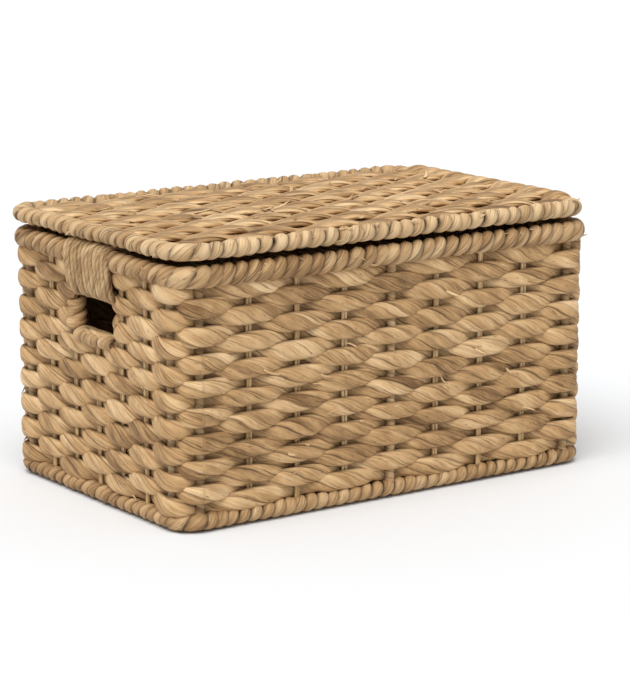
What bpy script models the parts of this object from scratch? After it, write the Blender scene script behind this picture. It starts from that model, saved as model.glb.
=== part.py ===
"""Lidded wicker basket, in metres, +Z up, standing on Z = 0 with its long sides along X.

A welded wire frame and rattan stakes carry closed rows of twisted leaf strand. Wrapped borders
bind the rim, the base and the lid, a wrapped grip spans the hand hole in each short side, and two
cord loops along the back rim hinge the lid.
"""
import math

import bmesh
import bpy
from mathutils import Vector

# Outline of the frame, on the centrelines of its rings
RING_LENGTH = 0.424
RING_DEPTH = 0.267
RIM_Z = 0.211
LID_Z = 0.2325
LID_LENGTH = 0.419
LID_SHIFT = -0.0025

# Stakes stand a little inside the rings and turn the corners on this radius
STAKE_INSET = 0.004
CORNER_RADIUS = 0.015
LONG_SIDE_GAPS = 8
SHORT_SIDE_GAPS = 6
CORNER_STEPS = 4

# Welded wire frame
RING_WIRE_RADIUS = 0.0024
POST_WIRE_RADIUS = 0.0022
LID_RING_WIRE_RADIUS = 0.0022
LID_CROSS_WIRE_RADIUS = 0.0018
HOOP_CHAMFER = 0.0015
WIRE_BEVEL_RESOLUTION = 2

# Rattan: pairs side by side in the walls, single canes in the lid
CANE_PAIR_WIDTH = 0.0048
CANE_PAIR_THICKNESS = 0.0024
CANE_PAIR_CHAMFER = 0.0008
CANE_BEND_CHAMFER = 0.003
CANE_FOOT_LIFT = 0.0007
LID_CANE_RADIUS = 0.0016
LID_CANE_CLEARANCE = 0.0028
LID_CANE_PITCH = 0.032
LID_CANE_COUNT = 13

# Woven wall rows
ROW_COUNT = 17
ROW_PITCH = 0.0108
FIRST_ROW_Z = 0.0215
ROW_HEIGHT = 0.0104
ROW_THICKNESS = 0.007
WEAVE_OFFSET = 0.0072
HOLE_ROWS = (13, 14)
UPPER_ROW_LIFT = 0.003
HAIRPIN_STEPS = 6

# Woven mats in the base and the lid
MAT_STRANDS = 14
MAT_STRAND_WIDTH = 0.014
MAT_STRAND_THICKNESS = 0.0044
MAT_WEAVE_OFFSET = 0.0054
MAT_SIDE_MARGIN = 0.0155
MAT_OVERRUN = 0.0025
BASE_SELVEDGE_MARGIN = 0.009
LID_SELVEDGE_MARGIN = 0.0105
SELVEDGE_OVERHANG = 0.0064
SELVEDGE_WIDTH = 0.004
SELVEDGE_HEIGHT = 0.0056

# Wrapped borders: an open round sleeve whose slot lets the stakes or canes in
WRAP_RADIUS = 0.008
WRAP_BORE = 0.0032
WRAP_STEP = 24.0
RIM_WRAP_ANGLES = (-90.0, 174.0)
BASE_WRAP_ANGLES = (-126.0, 90.0)
LID_WRAP_ANGLES = (-114.0, 126.0)
BASE_Z = WRAP_RADIUS * math.cos(math.radians(WRAP_STEP / 2))

# Wrapped grip and sill of each hand hole
GRIP_HALF_LENGTH = 0.034
GRIP_OUTER_SPACE = 0.0083
GRIP_INNER_SPACE = 0.015
GRIP_WALL = 0.0022
GRIP_TOP_WALL = 0.0046
GRIP_BOTTOM_WALL = 0.0027
GRIP_CORNER = 0.004
GRIP_CORNER_STEPS = 3
SILL_HALF_LENGTH = 0.0262
SILL_SPACE = 0.011
SILL_WALL = 0.0022
SILL_LEG = 0.009
GAP = 0.0003

# Hinge loops of cord, round the lid wire and the rim wire
HINGE_SPREAD = 0.112
HINGE_CORD_RADIUS = 0.0018
HINGE_LOOP_RADIUS = 0.0046
HINGE_NOTCH = 0.0055
HINGE_ARC_STEPS = 6

STRAND_COLOUR = (0.50, 0.37, 0.21, 1.0)
WRAP_COLOUR = (0.44, 0.32, 0.19, 1.0)
CANE_COLOUR = (0.74, 0.62, 0.42, 1.0)
WIRE_COLOUR = (0.10, 0.08, 0.06, 1.0)
CORD_COLOUR = (0.40, 0.29, 0.17, 1.0)

WALL_X = RING_LENGTH / 2 - STAKE_INSET
WALL_Y = RING_DEPTH / 2 - STAKE_INSET
LONG_PITCH = (WALL_X - CORNER_RADIUS) * 2 / LONG_SIDE_GAPS
SHORT_PITCH = (WALL_Y - CORNER_RADIUS) * 2 / SHORT_SIDE_GAPS
UP = Vector((0, 0, 1))


def clear_scene():
    for item in list(bpy.data.objects):
        bpy.data.objects.remove(item)


def new_collection(name):
    collection = bpy.data.collections.new(name)
    bpy.context.scene.collection.children.link(collection)
    return collection


def give_material(item, colour, roughness, metallic=0.0):
    """One Principled material for each piece, named after it."""
    material = bpy.data.materials.new(item.name + "_material")
    material.use_nodes = True
    shader = material.node_tree.nodes["Principled BSDF"]
    shader.inputs["Base Color"].default_value = colour
    shader.inputs["Roughness"].default_value = roughness
    shader.inputs["Metallic"].default_value = metallic
    material.diffuse_color = colour
    item.data.materials.append(material)


def add_spline(curve, points, cyclic):
    spline = curve.splines.new("POLY")
    spline.points.add(len(points) - 1)
    for place, point in zip(spline.points, points):
        place.co = (*point, 1.0)
    spline.use_cyclic_u = cyclic


def new_curve(name, runs, collection, cyclic=False, dimensions="3D"):
    """A curve object of one POLY spline for each run of points."""
    curve = bpy.data.curves.new(name, "CURVE")
    curve.dimensions = dimensions
    for run in runs:
        add_spline(curve, run, cyclic)
    item = bpy.data.objects.new(name, curve)
    collection.objects.link(item)
    return item


def section(name, outline):
    """A closed flat outline, used as the section of swept strands."""
    flat = [(x, y, 0.0) for x, y in reversed(outline)]
    item = new_curve(name, [flat], guides, cyclic=True, dimensions="2D")
    item.data.fill_mode = "NONE"
    item.hide_render = True
    item.display_type = "WIRE"
    return item


def sweep(name, runs, outline, cyclic=False, twist="Z_UP"):
    """A strand of constant section along each run of points."""
    item = new_curve(name, runs, basket, cyclic)
    item.data.bevel_mode = "OBJECT"
    item.data.bevel_object = outline
    item.data.use_fill_caps = not cyclic
    item.data.twist_mode = twist
    return item


def wire(name, runs, radius, cyclic=False):
    """Round wire, cane or cord along each run of points."""
    item = new_curve(name, runs, basket, cyclic)
    item.data.bevel_depth = radius
    item.data.bevel_resolution = WIRE_BEVEL_RESOLUTION
    item.data.use_fill_caps = not cyclic
    return item


def as_mesh(curve_item):
    """The same shape as a welded mesh, in the curve's place."""
    graph = bpy.context.evaluated_depsgraph_get()
    mesh = bpy.data.meshes.new_from_object(curve_item.evaluated_get(graph))
    cage = bmesh.new()
    cage.from_mesh(mesh)
    bmesh.ops.remove_doubles(cage, verts=cage.verts, dist=1e-6)
    cage.to_mesh(mesh)
    cage.free()
    name = curve_item.name
    curve_item.name = name + "_curve"
    item = bpy.data.objects.new(name, mesh)
    basket.objects.link(item)
    item.matrix_world = curve_item.matrix_world
    bpy.data.objects.remove(curve_item)
    return item


def unite(item, others):
    """Weld the other pieces to this one."""
    for other in others:
        basket.objects.unlink(other)
        guides.objects.link(other)
        other.hide_render = True
        other.display_type = "WIRE"
        union = item.modifiers.new("weld_" + other.name, "BOOLEAN")
        union.operation = "UNION"
        union.object = other


def rectangle(width, height):
    half_width, half_height = width / 2, height / 2
    return [(-half_width, -half_height), (half_width, -half_height),
            (half_width, half_height), (-half_width, half_height)]


def chamfered_rectangle(width, height, chamfer):
    half_width, half_height = width / 2, height / 2
    inner_width, inner_height = half_width - chamfer, half_height - chamfer
    return [(-inner_width, -half_height), (inner_width, -half_height),
            (half_width, -inner_height), (half_width, inner_height),
            (inner_width, half_height), (-inner_width, half_height),
            (-half_width, inner_height), (-half_width, -inner_height)]


def round_sleeve(angles):
    """Section of a wrapped border: outward is +X, up is +Y, between two angles in degrees."""
    low, high = angles
    steps = round((high - low) / WRAP_STEP)
    turns = [math.radians(low + (high - low) * step / steps) for step in range(steps + 1)]
    outer = [(WRAP_RADIUS * math.cos(turn), WRAP_RADIUS * math.sin(turn)) for turn in turns]
    inner = [(WRAP_BORE * math.cos(turn), WRAP_BORE * math.sin(turn)) for turn in turns]
    return outer + inner[::-1]


def corner_arc(centre, radius, start_angle, steps):
    """Points of a quarter circle in the XY plane, anticlockwise."""
    points = []
    for step in range(steps + 1):
        angle = math.radians(start_angle + 90.0 * step / steps)
        points.append(centre + radius * Vector((math.cos(angle), math.sin(angle), 0)))
    return points


def ring_corners(length, depth, shift, height):
    """The four rounded corners of a ring: front left, front right, back right, back left."""
    radius = CORNER_RADIUS + STAKE_INSET
    reach_x, reach_y = length / 2 - radius, depth / 2 - radius
    signs = [(-1, -1, 180.0), (1, -1, 270.0), (1, 1, 0.0), (-1, 1, 90.0)]
    return [corner_arc(Vector((shift + sign_x * reach_x, sign_y * reach_y, height)),
                       radius, angle, CORNER_STEPS) for sign_x, sign_y, angle in signs]


def whole_ring(length, depth, shift, height):
    return sum(ring_corners(length, depth, shift, height), [])


def hinge_places():
    return [LID_SHIFT - HINGE_SPREAD, LID_SHIFT + HINGE_SPREAD]


def border_runs(length, shift, height):
    """A border's two lengths: from hinge to hinge round the front, and between the hinges."""
    left, right = hinge_places()
    back = RING_DEPTH / 2
    half_notch = HINGE_NOTCH / 2
    front_left, front_right, back_right, back_left = ring_corners(length, RING_DEPTH, shift, height)
    start = Vector((left - half_notch, back, height))
    end = Vector((right + half_notch, back, height))
    front = [start] + back_left + front_left + front_right + back_right + [end]
    inner_start = Vector((right - half_notch, back, height))
    inner_end = Vector((left + half_notch, back, height))
    return front, [inner_start, inner_end]


def wall_stakes():
    """Every stake's place and outward direction, anticlockwise from the front left post."""
    long_places = [(step - LONG_SIDE_GAPS / 2) * LONG_PITCH for step in range(LONG_SIDE_GAPS + 1)]
    short_places = [(step - SHORT_SIDE_GAPS / 2) * SHORT_PITCH for step in range(SHORT_SIDE_GAPS + 1)]
    front = [(Vector((x, -WALL_Y, 0)), Vector((0, -1, 0))) for x in long_places]
    right = [(Vector((WALL_X, y, 0)), Vector((1, 0, 0))) for y in short_places]
    back = [(Vector((x, WALL_Y, 0)), Vector((0, 1, 0))) for x in reversed(long_places)]
    left = [(Vector((-WALL_X, y, 0)), Vector((-1, 0, 0))) for y in reversed(short_places)]
    return front + right + back + left


def row_height(number):
    lift = UPPER_ROW_LIFT if number > HOLE_ROWS[1] else 0.0
    return FIRST_ROW_Z + (number - 1) * ROW_PITCH + lift


def woven_run(indices, number, skipped=()):
    """A row's centreline past the given stakes, outside one and inside the next."""
    points = []
    lift = UP * row_height(number)
    for index in indices:
        place, outward = stakes[index]
        side = 1 if (index + number) % 2 == 0 else -1
        if index not in skipped:
            points.append(place + outward * side * WEAVE_OFFSET + lift)
        following = stakes[(index + 1) % len(stakes)]
        if following[1] != outward and index != indices[-1]:
            points += corner_crossing(place, outward, following[1], side, lift)
    return points


def corner_crossing(place, outward, next_outward, side, lift):
    """The strand crosses from one side of the stakes to the other as it rounds a corner."""
    centre = place - outward * CORNER_RADIUS
    points = []
    for step in range(1, CORNER_STEPS):
        share = step / CORNER_STEPS
        turn = share * math.pi / 2
        direction = outward * math.cos(turn) + next_outward * math.sin(turn)
        offset = side * WEAVE_OFFSET * math.cos(share * math.pi)
        points.append(centre + direction * (CORNER_RADIUS + offset) + lift)
    return points


def hairpin(index, along, number, next_number):
    """The strand turns back round a stake beside the hand hole, from one row to the next."""
    place, outward = stakes[index]
    side = 1 if (index + number) % 2 == 0 else -1
    points = []
    for step in range(1, HAIRPIN_STEPS):
        share = step / HAIRPIN_STEPS
        turn = share * math.pi
        direction = outward * side * math.cos(turn) + along * math.sin(turn)
        height = row_height(number) * (1 - share) + row_height(next_number) * share
        points.append(place + direction * WEAVE_OFFSET + UP * height)
    return points


def build_rows():
    middle_stakes = (LONG_SIDE_GAPS + 1 + SHORT_SIDE_GAPS // 2,
                     len(stakes) - 1 - SHORT_SIDE_GAPS // 2)
    closed = list(range(len(stakes))) + [0]
    outline = section("row_section", rectangle(ROW_THICKNESS, ROW_HEIGHT))
    for number in range(1, ROW_COUNT + 1):
        if number in HOLE_ROWS:
            continue
        skipped = middle_stakes if number > HOLE_ROWS[1] else ()
        points = woven_run(closed, number, skipped)[:-1]
        row = sweep(f"weave_row_{number:02d}", [points], outline, cyclic=True)
        give_material(row, STRAND_COLOUR, 0.7)
    right_middle, left_middle = middle_stakes
    around_front = [step % len(stakes) for step in range(left_middle + 1, len(stakes) + right_middle)]
    around_back = list(range(right_middle + 1, left_middle))
    for name, run, along in (("hole_row_front", around_front, Vector((0, 1, 0))),
                             ("hole_row_back", around_back, Vector((0, -1, 0)))):
        lower, upper = HOLE_ROWS
        points = woven_run(run, lower) + hairpin(run[-1], along, lower, upper)
        points += woven_run(run, upper)[::-1] + hairpin(run[0], along, upper, lower)
        row = sweep(name, [points], outline, cyclic=True)
        give_material(row, STRAND_COLOUR, 0.7)


def hoop_points(x, chamfer):
    """Down the front wall, under the base and up the back wall."""
    half = [Vector((x, WALL_Y, RIM_Z)), Vector((x, WALL_Y, BASE_Z + chamfer)),
            Vector((x, WALL_Y - chamfer, BASE_Z))]
    return [Vector((point.x, -point.y, point.z)) for point in half] + half[::-1]


def build_wire_frame():
    reach_x = WALL_X - CORNER_RADIUS
    reach_y = WALL_Y - CORNER_RADIUS
    rim = whole_ring(RING_LENGTH, RING_DEPTH, 0, RIM_Z)
    base = whole_ring(RING_LENGTH, RING_DEPTH, 0, BASE_Z)
    frame = as_mesh(wire("wire_frame", [rim], RING_WIRE_RADIUS, cyclic=True))
    parts = [wire("base_ring", [base], RING_WIRE_RADIUS, cyclic=True)]
    for step, x in enumerate((-reach_x, 0, reach_x)):
        parts.append(wire(f"hoop_{step}", [hoop_points(x, HOOP_CHAMFER)], POST_WIRE_RADIUS))
    for side, x in (("left", -WALL_X), ("right", WALL_X)):
        for end, y in (("front", -reach_y), ("back", reach_y)):
            post = [Vector((x, y, BASE_Z)), Vector((x, y, RIM_Z))]
            parts.append(wire(f"post_{side}_{end}", [post], POST_WIRE_RADIUS))
    unite(frame, [as_mesh(part) for part in parts])
    give_material(frame, WIRE_COLOUR, 0.5, metallic=0.6)


def build_canes():
    """Six pairs run down one long wall and up the other; five stand in each short wall."""
    outline = section("cane_section", chamfered_rectangle(CANE_PAIR_WIDTH, CANE_PAIR_THICKNESS,
                                                          CANE_PAIR_CHAMFER))
    long_steps = [step for step in range(1, LONG_SIDE_GAPS) if step != LONG_SIDE_GAPS // 2]
    for number, step in enumerate(long_steps, 1):
        x = (step - LONG_SIDE_GAPS / 2) * LONG_PITCH
        bend = hoop_points(x, CANE_BEND_CHAMFER)
        cane = sweep(f"cane_pair_{number}", [bend], outline, twist="MINIMUM")
        give_material(cane, CANE_COLOUR, 0.45)
    sill_top = row_height(HOLE_ROWS[0] - 1) + ROW_HEIGHT / 2
    for side, x in (("left", -WALL_X), ("right", WALL_X)):
        for step in range(1, SHORT_SIDE_GAPS):
            y = (step - SHORT_SIDE_GAPS / 2) * SHORT_PITCH
            top = sill_top if step == SHORT_SIDE_GAPS // 2 else RIM_Z
            ends = [Vector((0, 0, BASE_Z + CANE_FOOT_LIFT)), Vector((0, 0, top))]
            cane = sweep(f"end_cane_{side}_{step}", [ends], outline, twist="MINIMUM")
            cane.location = (x, y, 0)
            cane.rotation_euler.z = math.pi / 2
            give_material(cane, CANE_COLOUR, 0.45)


def woven_mat(name, members, shift, end, height):
    """Strands along X over and under the cross members, joined by a selvedge at each end."""
    side_reach = RING_DEPTH / 2 - MAT_SIDE_MARGIN
    runs = []
    for strand in range(MAT_STRANDS):
        y = -side_reach + 2 * side_reach * strand / (MAT_STRANDS - 1)
        sides = [1 if (index + strand) % 2 == 0 else -1 for index in range(len(members))]
        woven = [Vector((x, y, height + side * MAT_WEAVE_OFFSET)) for x, side in zip(members, sides)]
        overrun = Vector((MAT_OVERRUN, 0, 0))
        first, last = woven[0] - overrun, woven[-1] + overrun
        runs.append([Vector((shift - end, y, height)), first] + woven
                    + [last, Vector((shift + end, y, height))])
    outline = section(name + "_section", rectangle(MAT_STRAND_WIDTH, MAT_STRAND_THICKNESS))
    mat = as_mesh(sweep(name, runs, outline))
    across = side_reach + SELVEDGE_OVERHANG
    selvedge_outline = section(name + "_selvedge_section", rectangle(SELVEDGE_WIDTH, SELVEDGE_HEIGHT))
    selvedges = []
    for label, x in (("left", shift - end), ("right", shift + end)):
        run = [Vector((x, -across, height)), Vector((x, across, height))]
        selvedges.append(as_mesh(sweep(f"{name}_selvedge_{label}", [run], selvedge_outline)))
    unite(mat, selvedges)
    give_material(mat, STRAND_COLOUR, 0.7)
    return mat


def extruded(name, splines, half_length):
    """A flat outline, drawn across the wall, extruded along Y."""
    flat = [[(x, y, 0.0) for x, y in spline] for spline in splines]
    item = new_curve(name, flat, basket, cyclic=True, dimensions="2D")
    item.data.fill_mode = "BOTH"
    item.data.extrude = half_length
    item.rotation_euler.x = math.pi / 2
    return item


def rounded_outline(low_x, high_x, low_y, high_y, radius):
    """Anticlockwise outline of a rectangle with round corners."""
    corners = [(low_x, low_y, 180.0), (high_x, low_y, 270.0), (high_x, high_y, 0.0), (low_x, high_y, 90.0)]
    points = []
    for x, y, start_angle in corners:
        centre = Vector((x + radius if x == low_x else x - radius,
                         y + radius if y == low_y else y - radius, 0))
        arc = corner_arc(centre, radius, start_angle, GRIP_CORNER_STEPS)
        points += [(point.x, point.y) for point in arc]
    return points


def build_hand_holes():
    """A wrapped grip above each hand hole and a wrapped sill below it."""
    rim_top = RIM_Z + WRAP_RADIUS * math.cos(math.radians(WRAP_STEP / 2))
    bundle_bottom = row_height(HOLE_ROWS[1] + 1) - ROW_HEIGHT / 2 - GAP
    sill_row_top = row_height(HOLE_ROWS[0] - 1) + ROW_HEIGHT / 2 + GAP
    for side, sign in (("left", -1), ("right", 1)):
        ring_x, wall_x = sign * RING_LENGTH / 2, sign * WALL_X
        near, far = sorted((ring_x + sign * GRIP_OUTER_SPACE, ring_x - sign * GRIP_INNER_SPACE))
        bore = [(near, bundle_bottom), (near, rim_top + GAP), (far, rim_top + GAP), (far, bundle_bottom)]
        skin = rounded_outline(near - GRIP_WALL, far + GRIP_WALL, bundle_bottom - GRIP_BOTTOM_WALL,
                               rim_top + GAP + GRIP_TOP_WALL, GRIP_CORNER)
        grip = extruded(f"handle_wrap_{side}", [skin, bore], GRIP_HALF_LENGTH)
        give_material(grip, CORD_COLOUR, 0.75)
        inner, outer = SILL_SPACE, SILL_SPACE + SILL_WALL
        foot = sill_row_top - SILL_LEG
        saddle = [(wall_x - outer, foot), (wall_x - inner, foot), (wall_x - inner, sill_row_top),
                  (wall_x + inner, sill_row_top), (wall_x + inner, foot), (wall_x + outer, foot),
                  (wall_x + outer, sill_row_top), (wall_x + inner, sill_row_top + SILL_WALL),
                  (wall_x - inner, sill_row_top + SILL_WALL), (wall_x - outer, sill_row_top)]
        sill = extruded(f"sill_wrap_{side}", [saddle], SILL_HALF_LENGTH)
        give_material(sill, CORD_COLOUR, 0.75)


def build_borders():
    """The wrapped rim in two lengths between the hinges, and the wrapped base in one."""
    rim_outline = section("rim_section", round_sleeve(RIM_WRAP_ANGLES))
    base_outline = section("base_section", round_sleeve(BASE_WRAP_ANGLES))
    front, back = border_runs(RING_LENGTH, 0, RIM_Z)
    base = whole_ring(RING_LENGTH, RING_DEPTH, 0, BASE_Z)
    for border in (sweep("rim_wrap_front", [front], rim_outline),
                   sweep("rim_wrap_back", [back], rim_outline),
                   sweep("base_wrap", [base], base_outline, cyclic=True)):
        give_material(border, WRAP_COLOUR, 0.7)


def build_hinge_loops():
    """Each loop is a long ring of cord round the lid wire and the rim wire."""
    back = RING_DEPTH / 2
    for side, x in zip(("left", "right"), hinge_places()):
        points = []
        for centre_z, start_angle in ((LID_Z, 0.0), (RIM_Z, 180.0)):
            for step in range(HINGE_ARC_STEPS + 1):
                angle = math.radians(start_angle + 180.0 * step / HINGE_ARC_STEPS)
                points.append(Vector((x, back + HINGE_LOOP_RADIUS * math.cos(angle),
                                      centre_z + HINGE_LOOP_RADIUS * math.sin(angle))))
        loop = wire(f"hinge_loop_{side}", [points], HINGE_CORD_RADIUS, cyclic=True)
        give_material(loop, CORD_COLOUR, 0.75)


def build_base_mat():
    members = [(step - LONG_SIDE_GAPS / 2) * LONG_PITCH for step in range(LONG_SIDE_GAPS + 1)]
    woven_mat("base_weave", members, 0, WALL_X - BASE_SELVEDGE_MARGIN, BASE_Z)


def build_lid():
    """The lid lies flat and turns on an empty set on its back wire."""
    hinge = bpy.data.objects.new("lid_hinge", None)
    hinge.location = (0, RING_DEPTH / 2, LID_Z)
    basket.objects.link(hinge)
    middle = LID_CANE_COUNT // 2
    members = [LID_SHIFT + (step - middle) * LID_CANE_PITCH for step in range(LID_CANE_COUNT)]
    ring = whole_ring(LID_LENGTH, RING_DEPTH, LID_SHIFT, LID_Z)
    frame = as_mesh(wire("lid_frame", [ring], LID_RING_WIRE_RADIUS, cyclic=True))
    cross = [Vector((LID_SHIFT, -RING_DEPTH / 2, LID_Z)), Vector((LID_SHIFT, RING_DEPTH / 2, LID_Z))]
    unite(frame, [as_mesh(wire("lid_cross_wire", [cross], LID_CROSS_WIRE_RADIUS))])
    give_material(frame, WIRE_COLOUR, 0.5, metallic=0.6)
    outline = section("lid_section", round_sleeve(LID_WRAP_ANGLES))
    pieces = [frame]
    runs = border_runs(LID_LENGTH, LID_SHIFT, LID_Z)
    for name, run in zip(("lid_border_front", "lid_border_back"), runs):
        border = sweep(name, [run], outline)
        give_material(border, WRAP_COLOUR, 0.7)
        pieces.append(border)
    cane_end = RING_DEPTH / 2 - LID_CANE_CLEARANCE
    for number, x in enumerate(members[:middle] + members[middle + 1:], 1):
        ends = [Vector((x, -cane_end, LID_Z)), Vector((x, cane_end, LID_Z))]
        cane = wire(f"lid_cane_{number:02d}", [ends], LID_CANE_RADIUS)
        give_material(cane, CANE_COLOUR, 0.45)
        pieces.append(cane)
    mat_end = LID_LENGTH / 2 - LID_SELVEDGE_MARGIN
    pieces.append(woven_mat("lid_weave", members, LID_SHIFT, mat_end, LID_Z))
    for piece in pieces:
        piece.parent = hinge
        piece.location = -hinge.location


def main():
    build_wire_frame()
    build_canes()
    build_rows()
    build_hand_holes()
    build_borders()
    build_base_mat()
    build_hinge_loops()
    build_lid()


clear_scene()
basket = new_collection("wicker_basket")
guides = new_collection("guides")
stakes = wall_stakes()
main()
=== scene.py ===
import math

import bpy
import numpy as np
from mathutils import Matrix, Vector


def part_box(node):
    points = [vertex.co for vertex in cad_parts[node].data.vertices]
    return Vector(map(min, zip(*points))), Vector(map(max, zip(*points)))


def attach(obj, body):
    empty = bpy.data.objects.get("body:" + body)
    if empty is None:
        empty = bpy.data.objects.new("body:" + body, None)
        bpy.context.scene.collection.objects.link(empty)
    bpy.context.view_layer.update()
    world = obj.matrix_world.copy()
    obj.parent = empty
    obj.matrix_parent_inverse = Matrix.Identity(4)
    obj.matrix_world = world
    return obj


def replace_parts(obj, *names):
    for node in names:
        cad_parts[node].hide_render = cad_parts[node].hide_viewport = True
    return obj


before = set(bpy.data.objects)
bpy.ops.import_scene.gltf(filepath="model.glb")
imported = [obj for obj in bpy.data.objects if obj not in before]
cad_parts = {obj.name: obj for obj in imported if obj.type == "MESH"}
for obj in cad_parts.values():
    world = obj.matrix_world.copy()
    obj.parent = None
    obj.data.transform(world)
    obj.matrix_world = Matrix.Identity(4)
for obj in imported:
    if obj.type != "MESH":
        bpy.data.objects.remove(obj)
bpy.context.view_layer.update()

# ---------------------------------------------------------------- places taken from the frame


def centre(node):
    low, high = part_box(node)
    return (low + high) / 2


LONG_GAPS = 8
SHORT_GAPS = 6
TOP_ROW = 17
HOLE_ROWS = (13, 14)
CANE_HALF_THICKNESS = 0.0012
RIM_WIRE = 0.0024
LID_WIRE = 0.0022
RING_OFFSET = 0.004
SPREAD = 0.0003

LONG_PITCH = centre("cane_pair_2").x - centre("cane_pair_1").x
SHORT_PITCH = centre("end_cane_left_2").y - centre("end_cane_left_1").y
WALL_X = abs(centre("end_cane_left_1").x)
WALL_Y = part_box("cane_pair_1")[1].y - CANE_HALF_THICKNESS
CORNER = WALL_X - LONG_GAPS / 2 * LONG_PITCH
RIM_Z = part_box("wire_frame")[1].z - RIM_WIRE
RING_X = WALL_X + RING_OFFSET
RING_Y = WALL_Y + RING_OFFSET
RING_CORNER = CORNER + RING_OFFSET
BASE_Z = centre("base_weave").z
LID_Z = centre("lid_cane_01").z
LID_SHIFT = centre("lid_frame").x
LID_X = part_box("lid_frame")[1].x - LID_SHIFT - LID_WIRE
LID_PITCH = centre("lid_cane_02").x - centre("lid_cane_01").x
HINGES = [centre("hinge_loop_left").x, centre("hinge_loop_right").x]
HINGE_Y = centre("hinge_loop_left").y
HALF_NOTCH = 0.0027

# row heights: the two hole rows go on at the same pitch, and rows 9 to 14 spread to close the wall
ROWS = {n: centre(f"weave_row_{n:02d}").z for n in range(1, TOP_ROW + 1) if n not in HOLE_ROWS}
ROWS[13] = ROWS[12] + (ROWS[12] - ROWS[11])
ROWS[14] = ROWS[13] + (ROWS[12] - ROWS[11])
for row in range(9, 15):
    ROWS[row] += SPREAD * (row - 8)

# ---------------------------------------------------------------- numbers that vary smoothly


def wobble(s, scale, seed, low=-1.0, high=1.0):
    """A smooth random curve along s, with a new value about every scale metres."""
    random = np.random.default_rng(seed)
    count = int((s.max() - s.min()) / scale) + 4
    values = random.uniform(low, high, count)
    place = (s - s.min()) / scale
    index = np.clip(place.astype(int), 0, count - 2)
    share = place - index
    share = share * share * (3 - 2 * share)
    return values[index] * (1 - share) + values[index + 1] * share


def closed_wobble(s, length, scale, seed, low=-1.0, high=1.0):
    """The same on a closed path of that length, without a jump where it closes."""
    random = np.random.default_rng(seed)
    count = max(3, int(round(length / scale)))
    values = random.uniform(low, high, count)
    place = (s / length % 1.0) * count
    index = place.astype(int) % count
    share = place - place.astype(int)
    share = share * share * (3 - 2 * share)
    return values[index] * (1 - share) + values[(index + 1) % count] * share


# ---------------------------------------------------------------- meshes


def resampled(path, step):
    """Points at even distances along an open path."""
    s, length = arc_length(path, False)
    even = np.linspace(0, length, int(length / step) + 1)
    return np.stack([np.interp(even, s, path[:, axis]) for axis in range(3)], axis=1)


def new_object(name, vertices, faces, attributes, material, body):
    mesh = bpy.data.meshes.new(name)
    mesh.from_pydata(vertices.tolist(), [], faces)
    mesh.polygons.foreach_set("use_smooth", np.ones(len(mesh.polygons), bool))
    for key, values in attributes.items():
        if values.ndim == 2:
            attribute = mesh.attributes.new(key, "FLOAT_VECTOR", "POINT")
            attribute.data.foreach_set("vector", values.astype(np.float32).ravel())
        else:
            attribute = mesh.attributes.new(key, "FLOAT", "POINT")
            attribute.data.foreach_set("value", values.astype(np.float32))
    mesh.materials.append(material)
    mesh.update()
    item = bpy.data.objects.new(name, mesh)
    bpy.context.scene.collection.objects.link(item)
    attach(item, body)
    return item


def grid_faces(rings, around, closed, offset=0):
    """Quads between neighbouring rings, and one flat face over each open end."""
    rows = np.arange(rings if closed else rings - 1)
    a = (rows[:, None] * around + np.arange(around)[None, :])
    b = (((rows + 1) % rings)[:, None] * around + np.arange(around)[None, :])
    a_next = np.roll(a, -1, axis=1)
    b_next = np.roll(b, -1, axis=1)
    quads = (np.stack([a, b, b_next, a_next], axis=-1).reshape(-1, 4) + offset).tolist()
    if not closed:
        first = list(range(offset, offset + around))
        last = list(range(offset + (rings - 1) * around, offset + rings * around))
        quads.append(first)
        quads.append(last[::-1])
    return quads


def tangents(path, closed):
    if closed:
        forward = np.roll(path, -1, axis=0) - np.roll(path, 1, axis=0)
    else:
        forward = np.gradient(path, axis=0)
    return forward / np.linalg.norm(forward, axis=1, keepdims=True)


def frames(path, closed, up=(0, 0, 1)):
    """Side and up directions at each point: the side is on the right of travel."""
    forward = tangents(path, closed)
    side = np.cross(forward, np.asarray(up, float))
    side /= np.linalg.norm(side, axis=1, keepdims=True)
    rise = np.cross(side, forward)
    return side, rise


def varying(s, length, closed, seed):
    """A function that gives smooth random curves along s, one for each number."""
    def curve(scale, number, low=-1.0, high=1.0):
        if closed:
            return closed_wobble(s, length, scale, seed + number, low, high)
        return wobble(s, scale, seed + number, low, high)
    return curve


def arc_length(path, closed):
    steps = np.linalg.norm(np.diff(path, axis=0), axis=1)
    s = np.concatenate([[0.0], np.cumsum(steps)])
    length = s[-1] + (np.linalg.norm(path[0] - path[-1]) if closed else 0.0)
    return s, length


class Batch:
    """Several swept shapes gathered into one mesh."""

    def __init__(self):
        self.vertices = []
        self.faces = []
        self.grain = []
        self.painted_shade = []
        self.tone = []
        self.count = 0

    def add(self, path, closed, x, y, grain, painted_shade, tone, up=(0, 0, 1)):
        side, rise = frames(path, closed, up)
        rings, around = x.shape
        points = path[:, None, :] + side[:, None, :] * x[..., None] + rise[:, None, :] * y[..., None]
        self.vertices.append(points.reshape(-1, 3))
        self.faces += grid_faces(rings, around, closed, self.count)
        self.grain.append(grain.reshape(-1, 3))
        self.painted_shade.append(painted_shade.ravel())
        self.tone.append(tone.ravel())
        self.count += rings * around

    def build(self, name, material, body):
        attributes = {"grain": np.concatenate(self.grain), "painted_shade": np.concatenate(self.painted_shade),
                      "tone": np.concatenate(self.tone)}
        return new_object(name, np.concatenate(self.vertices), self.faces, attributes, material, body)


GRAIN_RADIUS = 0.007
WIDE_COLUMNS = (0.0, 0.035, 0.10, 0.22, 0.38, 0.54, 0.70, 0.84, 0.95)
NARROW_COLUMNS = (0.0, 0.06, 0.25, 0.50, 0.75, 0.94)
TUBE_COLUMNS = 12


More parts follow.
